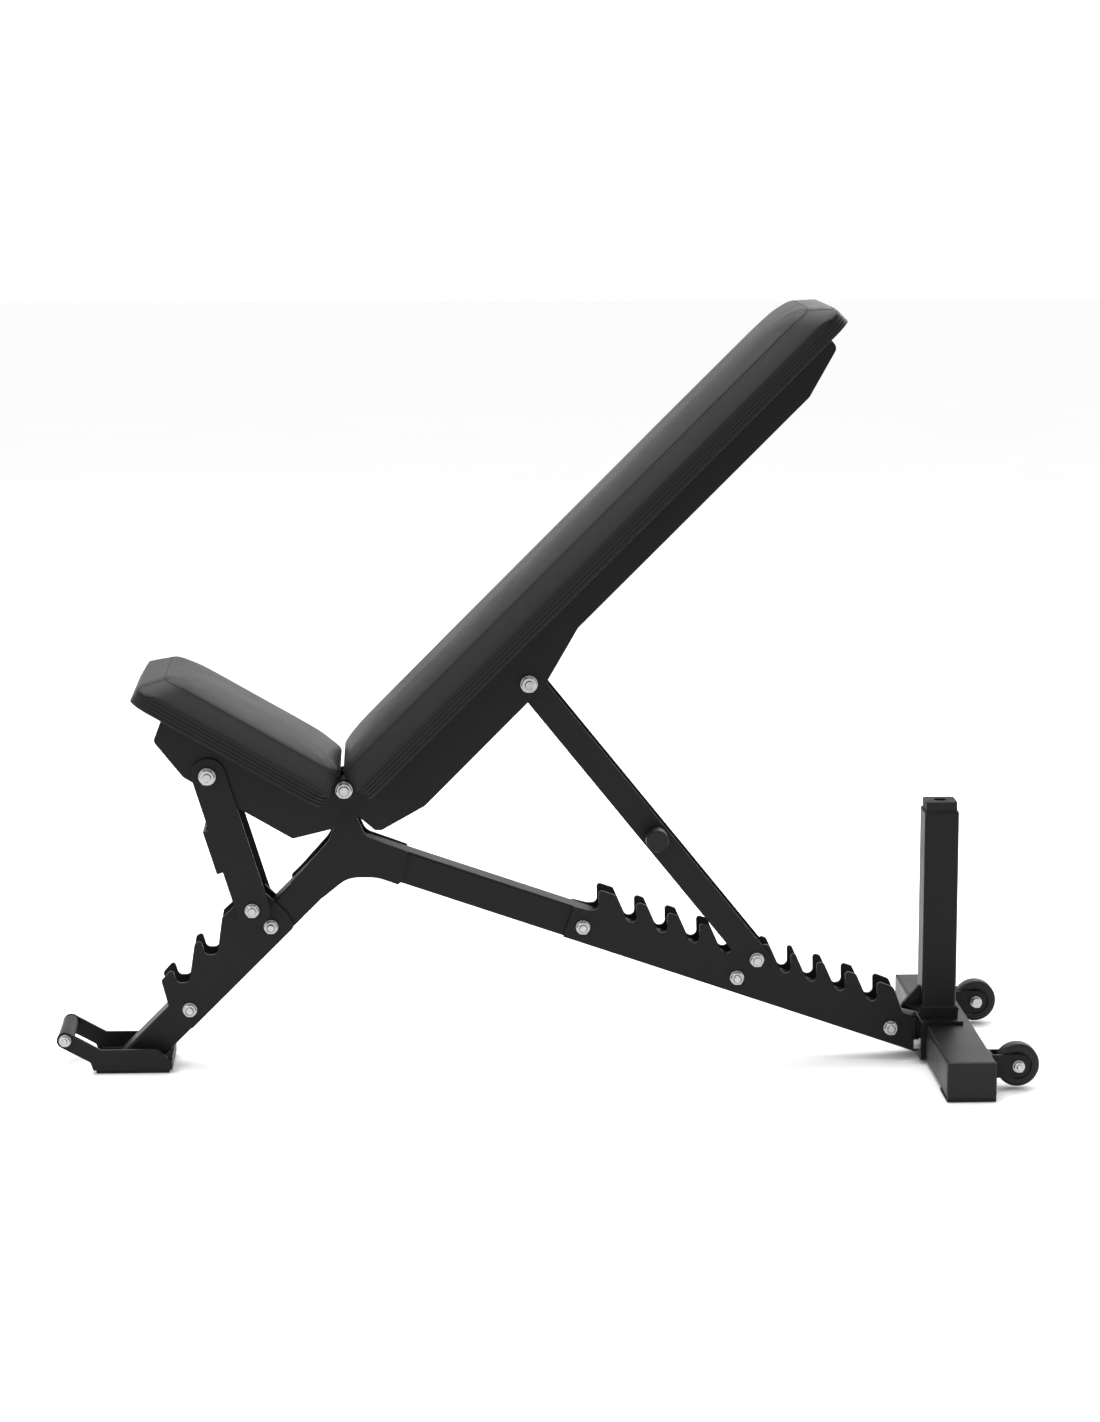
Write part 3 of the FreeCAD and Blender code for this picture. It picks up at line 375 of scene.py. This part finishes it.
def moulded(name, dark, light, grain, strength, low_rough, high_rough):
    finish = Finish(name, Specular_IOR_Level=0.2)
    texture = finish.noise(grain, 3.0)
    bloom = finish.noise(22.0, 3.0)
    finish.bump(texture, strength, 0.0003)
    colour = finish.blend(bloom * 0.7 + texture * 0.2, dark, light)
    return finish.wear(colour, finish.spread(bloom + 0.3 * texture, 0.4, 0.9, low_rough, high_rough))


rubber = moulded("matt_rubber", (0.004, 0.004, 0.004), (0.011, 0.011, 0.011), 900.0, 0.4, 0.62, 0.8)
plastic = moulded("moulded_plastic", (0.004, 0.004, 0.0045), (0.009, 0.009, 0.0095), 1500.0, 0.3, 0.38, 0.5)
urethane = moulded("urethane", (0.0035, 0.0035, 0.0038), (0.009, 0.009, 0.0095), 700.0, 0.15, 0.3, 0.42)
print("made", rubber.name, plastic.name, urethane.name)

# %% [markdown]
# ## Dress the CAD nodes
# Each steel, rubber or plastic part keeps its CAD shape. The record's material slot tells which
# finish it gets, so a part that is added later is dressed too.

# %% Dress the nodes
SLOT_FINISH = {"frame_paint": coat, "zinc": plating, "rubber": rubber, "plastic": plastic,
               "tyre": urethane, "upholstery": cover, "board": cover}
for row in frame["record"]["subparts"]:
    node = frame["nodes"][row["node"]]
    node.data.materials.clear()
    node.data.materials.append(SLOT_FINISH[row["material_slot"]])

# %% [markdown]
# ## The tilted parts' own axes
# Pads are easiest to model lying flat, with X along the pad from the pivot and Z out of it. Two
# matrices carry a flat pad to its place: the backrest is raised by 45 degrees, and the seat faces
# the other way, raised by 30.

# %% Pad axes
BACK_ANGLE = math.radians(45.0)
SEAT_ANGLE = math.radians(30.0)
to_back = Matrix.Translation(pivot) @ Matrix.Rotation(-BACK_ANGLE, 4, "Y")
to_seat = (Matrix.Translation(pivot) @ Matrix.Rotation(SEAT_ANGLE, 4, "Y")
           @ Matrix.Rotation(math.pi, 4, "Z"))
print("backrest board", [tuple(round(v, 3) for v in c) for c in local_box("back_board", to_back)])
print("seat board", [tuple(round(v, 3) for v in c) for c in local_box("seat_board", to_seat)])

# %% [markdown]
# ## Covered boards
# Under each cushion lies a plywood board wrapped in the cover, with parallel rows of stitching
# pressed into its edge. A plane gets rounded corners by bevelling its vertices. It is then extruded
# upwards in rolls: out a little, up, and in again, which leaves a groove between two rolls.

# %% Covered board
CORNER = 0.028
ROLLS = 4
GROOVE = 0.0011


def plan_sheet(start, end, half, corner, segments=7):
    """A flat sheet with rounded corners, in edit mode with all of it selected."""
    bpy.ops.object.select_all(action="DESELECT")
    bpy.ops.mesh.primitive_plane_add(size=1.0, location=(0, 0, 0))
    sheet = bpy.context.object
    sheet.scale = (end - start, 2 * half, 1)
    bpy.ops.object.transform_apply(scale=True)
    sheet.data.transform(Matrix.Translation(((start + end) / 2, 0, 0)))
    bpy.ops.object.mode_set(mode="EDIT")
    bpy.ops.mesh.select_all(action="SELECT")
    bpy.ops.mesh.bevel(affect="VERTICES", offset=corner, segments=segments)
    bpy.ops.mesh.select_all(action="SELECT")
    return sheet


def raise_rim(step, inset, length, width):
    """Extrude the selected face upwards and draw its rim in by the inset, equal on all sides."""
    bpy.ops.mesh.extrude_region_move(TRANSFORM_OT_translate={"value": (0, 0, step)})
    bpy.ops.transform.resize(value=((length - 2 * inset) / length, (width - 2 * inset) / width, 1))
    return length - 2 * inset, width - 2 * inset


def covered_board(name, node, matrix, body):
    low, high = local_box(node, matrix)
    board = plan_sheet(low.x, high.x, high.y, CORNER)
    length, width = high.x - low.x, 2 * high.y
    roll = (high.z - low.z) / ROLLS
    for index in range(ROLLS):
        length, width = raise_rim(roll * 0.18, -GROOVE if index else 0.0, length, width)
        length, width = raise_rim(roll * 0.64, 0.0, length, width)
        length, width = raise_rim(roll * 0.18, GROOVE if index < ROLLS - 1 else GROOVE / 2, length, width)
    bpy.ops.object.mode_set(mode="OBJECT")
    board.data.transform(Matrix.Translation((0, 0, low.z)))
    outwards(board)
    bevel = board.modifiers.new("soft_edges", "BEVEL")
    bevel.width = 0.0005
    bevel.segments = 2
    bevel.limit_method = "ANGLE"
    bpy.ops.object.modifier_apply(modifier=bevel.name)
    bpy.ops.object.shade_smooth_by_angle(angle=math.radians(40))
    place(board, matrix)
    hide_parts(node)
    return finish_piece(board, name, body, cover)


covered_board("back_covered_board", "back_board", to_back, "backrest")
covered_board("seat_covered_board", "seat_board", to_seat, "seat")

# %% [markdown]
# ## Cushions
# A cushion is foam pulled tight under its cover: the sides lean in to a sewn edge, and the top
# crowns above it. The start shape is that profile, a little oversize and cut at the pivot end, so
# that seat and backrest meet like a book. It is remeshed into even squares, and cloth simulation
# with inner pressure swells it. The base and the sewn edge are held meanwhile, as board and thread
# hold them. The outline and the crown's height are set last.

# %% Cushion
CREASE_HEIGHT = 0.0290
CREASE_INSET = 0.0275
CROWN_INSET = 0.012
CROWN_RISE = 0.0150
CROWN_TOP = 0.0465
OVERSIZE = 0.0045
END_SPARE = 0.032
BACK_END_SLOPE = math.radians(44.0)
SEAT_END_SLOPE = math.radians(59.0)
SUNK = 0.012
BOARD_MARGIN = 0.0006
BASE_GAP = 0.0003
HELD_BASE = 0.004
HELD_SEAM = 0.003
SWELL_CAP = 0.0035
PRESSURE = 4.0
LAST_FRAME = 20
SOFTEN_ROUNDS = 2
SHARP_ANGLE = math.radians(55)


def cushion_profile(node, board_node, matrix):
    """The cushion before it swells, flat on its own axes. It starts a little oversize."""
    pad_low, _ = local_box(node, matrix)
    board_low, board_high = local_box(board_node, matrix)
    base = pad_low.z + BASE_GAP
    start = board_low.x + BOARD_MARGIN
    end = board_high.x - BOARD_MARGIN
    half = board_high.y - BOARD_MARGIN
    near = start - END_SPARE
    cushion = plan_sheet(near, end + OVERSIZE, half + OVERSIZE, CORNER + OVERSIZE)
    length, width = end + OVERSIZE - near, 2 * (half + OVERSIZE)
    length, width = raise_rim(SUNK, 0.0, length, width)
    for rise, inset in ((0.10, 0.06), (0.40, 0.40), (0.50, 0.54)):
        length, width = raise_rim(rise * CREASE_HEIGHT, inset * CREASE_INSET, length, width)
    for rise, inset in ((0.40, 0.5), (0.36, 1.4), (0.24, 2.8)):
        length, width = raise_rim(rise * CROWN_RISE, inset * CROWN_INSET, length, width)
    bpy.ops.object.mode_set(mode="OBJECT")
    cushion.data.transform(Matrix.Translation((0, 0, base - SUNK)))
    return outwards(cushion), base, (start, end, half)


def cut_off(cushion, point, normal):
    """Remove what lies on the normal's side of a plane, and close the cut."""
    only(cushion)
    bpy.ops.object.mode_set(mode="EDIT")
    bpy.ops.mesh.select_all(action="SELECT")
    bpy.ops.mesh.bisect(plane_co=point, plane_no=normal, use_fill=True, clear_outer=True)
    bpy.ops.object.mode_set(mode="OBJECT")
    return cushion


def trimmed(cushion, base, outline, slope):
    """Bring the crown to its height and keep every point within the outline and the slanted end."""
    start, end, half = outline
    top = max(vertex.co.z for vertex in cushion.data.vertices)
    stretch = CROWN_TOP / (top - base)
    for vertex in cushion.data.vertices:
        vertex.co.z = base + (vertex.co.z - base) * stretch
        vertex.co.x = min(max(vertex.co.x, start, vertex.co.z / math.tan(slope)), end)
        vertex.co.y = min(max(vertex.co.y, -half), half)
    return cushion


def remeshed(cushion, cell, rounds):
    """Even squares all over, with the sharp edges softened as foam softens them."""
    only(cushion)
    grid = cushion.modifiers.new("even_squares", "REMESH")
    grid.mode = "VOXEL"
    grid.voxel_size = cell
    bpy.ops.object.modifier_apply(modifier=grid.name)
    soften = cushion.modifiers.new("soften", "SMOOTH")
    soften.iterations = rounds
    soften.factor = 0.5
    bpy.ops.object.modifier_apply(modifier=soften.name)
    return cushion


def swell(cushion, base):
    """Cloth with inner pressure for twenty frames, applied, with each point's travel capped."""
    before = [vertex.co.copy() for vertex in cushion.data.vertices]
    pins = cushion.vertex_groups.new(name="pins")
    seam = base + CREASE_HEIGHT
    held = [i for i, point in enumerate(before)
            if point.z < base + HELD_BASE or abs(point.z - seam) < HELD_SEAM]
    pins.add(held, 1.0, "REPLACE")
    cloth = cushion.modifiers.new("cover", "CLOTH")
    cloth.settings.use_pressure = True
    cloth.settings.uniform_pressure_force = PRESSURE
    cloth.settings.vertex_group_mass = "pins"
    cloth.settings.effector_weights.gravity = 0.0
    cloth.settings.quality = 5
    cloth.settings.tension_stiffness = 25.0
    cloth.settings.compression_stiffness = 25.0
    cloth.settings.bending_stiffness = 1.5
    cloth.collision_settings.use_collision = False
    scene = bpy.context.scene
    for step in range(1, LAST_FRAME + 1):
        scene.frame_set(step)
    only(cushion)
    bpy.ops.object.modifier_apply(modifier=cloth.name)
    scene.frame_set(1)
    for vertex, start in zip(cushion.data.vertices, before):
        travel = vertex.co - start
        if travel.length > SWELL_CAP:
            vertex.co = start + travel.normalized() * SWELL_CAP
    cushion.vertex_groups.clear()
    settle = cushion.modifiers.new("settle", "SMOOTH")
    settle.iterations = 1
    settle.factor = 0.5
    bpy.ops.object.modifier_apply(modifier=settle.name)
    return cushion


def make_cushion(node, board_node, matrix, slope, cell):
    cushion, base, outline = cushion_profile(node, board_node, matrix)
    cut_off(cushion, (-OVERSIZE * 1.6, 0, 0), (-math.sin(slope), 0, math.cos(slope)))
    cut_off(cushion, (outline[0] - OVERSIZE, 0, 0), (-1, 0, 0))
    remeshed(cushion, cell, SOFTEN_ROUNDS)
    swell(cushion, base)
    only(cushion)
    finer = cushion.modifiers.new("finer", "SUBSURF")
    finer.levels = 1
    finer.render_levels = 1
    bpy.ops.object.modifier_apply(modifier=finer.name)
    trimmed(cushion, base, outline, slope)
    cut_off(cushion, (0, 0, base), (0, 0, -1))
    bpy.ops.object.shade_smooth_by_angle(angle=SHARP_ANGLE)
    return cushion, base, outline


back_cushion, back_base, back_outline = make_cushion(
    "back_pad", "back_board", to_back, BACK_END_SLOPE, 0.0052)
seat_cushion, seat_base, seat_outline = make_cushion(
    "seat_pad", "seat_board", to_seat, SEAT_END_SLOPE, 0.0046)
print("cushion faces", len(back_cushion.data.polygons), len(seat_cushion.data.polygons))

# %% [markdown]
# ## Seams
# The cover is sewn from panels: a top, and a border that wraps the sides, joined at the corners.
# A seam is a thin welt, partly sunk in the cover. A ring or a line of points is dropped onto the
# finished cushion, each point to the nearest place on its surface, and then given a round section.

# %% Seams
WELT = 0.00085
WELT_SINK = WELT * 0.35


def tube_through(points, radius, closed, name):
    """A round tube through the points, as a mesh."""
    bpy.ops.object.select_all(action="DESELECT")
    bpy.ops.mesh.primitive_circle_add(vertices=len(points), radius=1.0, fill_type="NOTHING")
    ring = bpy.context.object
    for vertex, point in zip(ring.data.vertices, points):
        vertex.co = point
    if not closed:
        bpy.ops.object.mode_set(mode="EDIT")
        bpy.ops.mesh.select_mode(type="EDGE")
        bpy.ops.mesh.select_all(action="DESELECT")
        mesh = bmesh.from_edit_mesh(ring.data)
        mesh.verts.ensure_lookup_table()
        ends = {mesh.verts[0], mesh.verts[len(points) - 1]}
        for edge in mesh.edges:
            edge.select_set(set(edge.verts) == ends)
        bmesh.update_edit_mesh(ring.data)
        bpy.ops.mesh.delete(type="EDGE")
        bpy.ops.object.mode_set(mode="OBJECT")
    bpy.ops.object.convert(target="CURVE")
    curve = bpy.context.object
    curve.data.bevel_depth = radius
    curve.data.bevel_resolution = 2
    curve.data.use_fill_caps = True
    bpy.ops.object.convert(target="MESH")
    tube = bpy.context.object
    tube.name = name
    outwards(tube, 1e-6)
    only(tube)
    bpy.ops.object.shade_smooth()
    return tube


def rounded_ring(start, end, half, corner, height, step=0.012):
    """Points round a rectangle with round corners, evenly spaced."""
    points = []
    centres = [(end - corner, half - corner, 0), (start + corner, half - corner, 90),
               (start + corner, -half + corner, 180), (end - corner, -half + corner, 270)]
    for cx, cy, turn in centres:
        for part in range(7):
            angle = math.radians(turn + 15 * part)
            points.append(Vector((cx + corner * math.cos(angle), cy + corner * math.sin(angle), height)))
    spaced = []
    for first, second in zip(points, points[1:] + points[:1]):
        count = max(1, int((second - first).length / step))
        spaced += [first.lerp(second, part / count) for part in range(count)]
    return spaced


def onto(cushion, point, sink):
    """The nearest place on the cushion, a little under its surface."""
    _, hit, normal, _ = cushion.closest_point_on_mesh(point)
    return hit - normal * sink


def seam_ring(cushion, outline, base, height, inset, slope):
    _, end, half = outline
    near = (base + height) / math.tan(slope) + WELT
    ring = rounded_ring(near, end - inset, half - inset, CORNER * 0.6, base + height)
    return [onto(cushion, point, WELT_SINK) for point in ring]


def corner_seam(cushion, outline, base, side):
    """The upright seam where the end panel meets a side panel, at the far end of the pad."""
    start, end, half = outline
    points = []
    for part in range(9):
        share = part / 8
        inset = CREASE_INSET * share
        across = side * (half - 0.020 - inset * 0.6)
        spot = Vector((end - 0.004 - inset, across, base + 0.002 + 0.030 * share))
        points.append(onto(cushion, spot, WELT_SINK))
    return points


END_TRAVEL = 0.022


def make_room(piece, matrix, outline):
    """Give the piece a mesh of its own. The direction along the pad, its far end and a share to keep are worked
    out and passed on, but nothing moves.
    """
    start, end, _ = outline
    along = (matrix.to_3x3() @ Vector((1, 0, 0))).normalized()
    far = matrix @ Vector((end, 0, 0))
    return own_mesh(piece, "backrest_raise", axis=tuple(along), anchor=tuple(far),
                     keep=1 - END_TRAVEL / (end - start))


def sew(prefix, cushion, base, outline, matrix, body, slope):
    ring = seam_ring(cushion, outline, base, CREASE_HEIGHT + 0.001, CREASE_INSET - 0.003, slope)
    pieces = [tube_through(ring, WELT, True, prefix + "_top_seam")]
    for side, word in ((-1, "left"), (1, "right")):
        points = corner_seam(cushion, outline, base, side)
        pieces.append(tube_through(points, WELT * 0.8, False, prefix + "_corner_seam_" + word))
    for piece in pieces:
        place(piece, matrix)
        finish_piece(piece, piece.name, body, stitching)
        make_room(piece, matrix, outline)


sew("back", back_cushion, back_base, back_outline, to_back, "backrest", BACK_END_SLOPE)
sew("seat", seat_cushion, seat_base, seat_outline, to_seat, "seat", SEAT_END_SLOPE)

# %% [markdown]
# The cushions go to their place last, because the seams were laid on them flat.

# %% Place the cushions
for cushion, outline, node, matrix, body in (
        (back_cushion, back_outline, "back_pad", to_back, "backrest"),
        (seat_cushion, seat_outline, "seat_pad", to_seat, "seat")):
    place(cushion, matrix)
    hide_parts(node)
    finish_piece(cushion, node.replace("pad", "cushion"), body, cover)
    make_room(cushion, matrix, outline)

# %% [markdown]
# ## Nut collars
# The lock nuts have a raised collar on their outer face. It is modelled as a ring, flattened along
# the bolt and open in the middle. One function makes it, once for every nut that it finds in a CAD
# node by its thickness.

# %% Nut collars


def collar_at(centre, outward, nut_radius, shank):
    """A collar on the nut's outer face: a ring with a rounded rim, open in the middle for the bolt."""
    bpy.ops.object.select_all(action="DESELECT")
    bpy.ops.mesh.primitive_torus_add(major_segments=32, minor_segments=8,
                                     major_radius=(nut_radius + shank) / 2,
                                     minor_radius=(nut_radius - shank) / 2)
    ring = bpy.context.object
    ring.scale = (1, 1, 0.0016 / ((nut_radius - shank) / 2))
    ring.rotation_euler = (math.pi / 2, 0, 0)
    ring.location = centre + Vector((0, outward * 0.0002, 0))
    bpy.ops.object.transform_apply(location=True, rotation=True, scale=True)
    bpy.ops.object.shade_smooth()
    return ring


def joined(pieces):
    only(pieces[0])
    for piece in pieces[1:]:
        piece.select_set(True)
    if len(pieces) > 1:
        bpy.ops.object.join()
    return bpy.context.object


def add_collars(name, node, body, flats, shank, wanted):
    rings = []
    for low, high in loose_parts(node):
        size = high - low
        if not wanted(size):
            continue
        centre = (low + high) / 2
        outward = 1 if centre.y > 0 else -1
        face = high.y if outward > 0 else low.y
        rings.append(collar_at(Vector((centre.x, face, centre.z)), outward, 0.40 * flats, shank + 0.0002))
    if rings:
        finish_piece(outwards(joined(rings)), name, body, plating)


def is_nut(size):
    return size.y > 0.005 and size.y < 0.012


add_collars("ladder_nut_collars", "ladder_nuts", "frame", 0.016, 0.005, is_nut)
add_collars("pivot_nut_collars", "pivot_fixings", "frame", 0.019, 0.006, is_nut)
add_collars("prop_nut_collars", "prop_lock_fixings", "prop", 0.016, 0.005, is_nut)
add_collars("strut_nut_collars", "seat_lock_fixings", "seat_strut", 0.016, 0.005, is_nut)

# %% [markdown]
# ## Weld beads
# Where tubes and plates meet, the maker runs a weld bead and the coat covers it. A bead is a thin
# tube laid in the corner, with its surface rippled by overlapping drops of metal.

# %% Weld beads
BEAD = 0.0026
BEAD_STEP = 0.0012
RIPPLE_SCALE = 260.0
RIPPLE_HEIGHT = 0.0006


def bead(points, name):
    """A rippled bead through the points, which are metres apart along straight runs."""
    spaced = []
    for first, second in zip(points, points[1:]):
        count = max(2, int((second - first).length / BEAD_STEP))
        spaced += [first.lerp(second, part / count) for part in range(count)]
    spaced.append(points[-1])
    tube = tube_through(spaced, BEAD, False, name)
    for vertex in tube.data.vertices:
        ripple = noise.noise(vertex.co * RIPPLE_SCALE)
        vertex.co += vertex.normal * (RIPPLE_HEIGHT * ripple)
    return tube


def rectangle(low_x, high_x, half_y, z):
    return [Vector((low_x, -half_y, z)), Vector((high_x, -half_y, z)), Vector((high_x, half_y, z)),
            Vector((low_x, half_y, z)), Vector((low_x, -half_y, z))]


def weld_all():
    beads = []
    post_low, post_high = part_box("post_tube")
    collar_low, collar_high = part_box("post_collar")
    beads.append(bead(rectangle(post_low.x, post_high.x, post_high.y, collar_high.z), "post_weld"))
    beam_low, beam_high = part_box("rear_beam_tube")
    for side, word in ((-1, "left"), (1, "right")):
        y = side * beam_high.y
        line = [Vector((beam_high.x, y, beam_low.z + 0.003)),
                Vector((beam_high.x, y, beam_low.z + 0.045))]
        beads.append(bead(line, "beam_weld_" + word))
        low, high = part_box("wheel_bracket_" + word)
        for y, place_word in ((low.y, "outer"), (high.y, "inner")):
            line = [Vector((low.x, y, low.z)), Vector((low.x, y, high.z))]
            beads.append(bead(line, "wheel_weld_%s_%s" % (word, place_word)))
    foot_low, foot_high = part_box("front_foot_base")
    leg_low, leg_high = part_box("leg_tube")
    leg_run = (leg_high.y - leg_low.y) * math.sqrt(2)
    for side, word in ((-1, "left"), (1, "right")):
        line = [Vector((leg_low.x + 0.002, side * leg_high.y, foot_high.z)),
                Vector((leg_low.x + leg_run - 0.002, side * leg_high.y, foot_high.z))]
        beads.append(bead(line, "foot_weld_" + word))
        y = side * foot_high.y
        line = [Vector((foot_low.x + 0.004, y, foot_high.z)), Vector((foot_high.x - 0.004, y, foot_high.z))]
        beads.append(bead(line, "foot_plate_weld_" + word))
    for piece in beads:
        finish_piece(piece, piece.name, "frame", coat)


weld_all()

# %% [markdown]
# ## Room
# A pale floor and a white surround, with a large soft light above, one from the front and one from
# behind. The wide sources give the sheen along the pads and keep the shadow on the floor faint.

# %% Room


def soft_light(name, where, aim, size, power):
    data = bpy.data.lights.new(name, "AREA")
    data.shape = "SQUARE"
    data.size = size
    data.energy = power
    light = bpy.data.objects.new(name, data)
    bpy.context.scene.collection.objects.link(light)
    light.location = where
    light.rotation_euler = (aim - where).to_track_quat("-Z", "Y").to_euler()
    return light


def floor():
    bpy.ops.object.select_all(action="DESELECT")
    bpy.ops.mesh.primitive_plane_add(size=40.0, location=(0, 0, cad_low.z - 0.0005))
    ground = bpy.context.object
    ground.name = "floor"
    finish = Finish("pale_floor")
    shade = finish.noise(1.5, 2.0)
    colour = finish.blend(shade, (0.95, 0.95, 0.955), (0.98, 0.98, 0.98))
    ground.data.materials.append(finish.wear(colour, finish.spread(shade, 0, 1, 0.7, 0.8)))


floor()
middle = (cad_low + cad_high) / 2
soft_light("overhead", middle + Vector((-0.4, 0.5, 3.0)), middle, 3.4, 150.0)
soft_light("front", middle + Vector((-2.6, -3.4, 1.8)), middle, 1.6, 45.0)
soft_light("back_edge", middle + Vector((1.8, 3.0, 2.2)), middle, 2.0, 50.0)
bpy.context.scene.view_settings.view_transform = "Standard"
world = bpy.data.worlds.new("white_room")
bpy.context.scene.world = world
world.use_nodes = True
world.node_tree.nodes["Background"].inputs["Color"].default_value = (1.0, 1.0, 1.0, 1.0)
world.node_tree.nodes["Background"].inputs["Strength"].default_value = 1.0
print("lights", len(bpy.data.lights))

# %% Size and finish
print("cad", [tuple(round(v, 4) for v in c) for c in (cad_low, cad_high)])
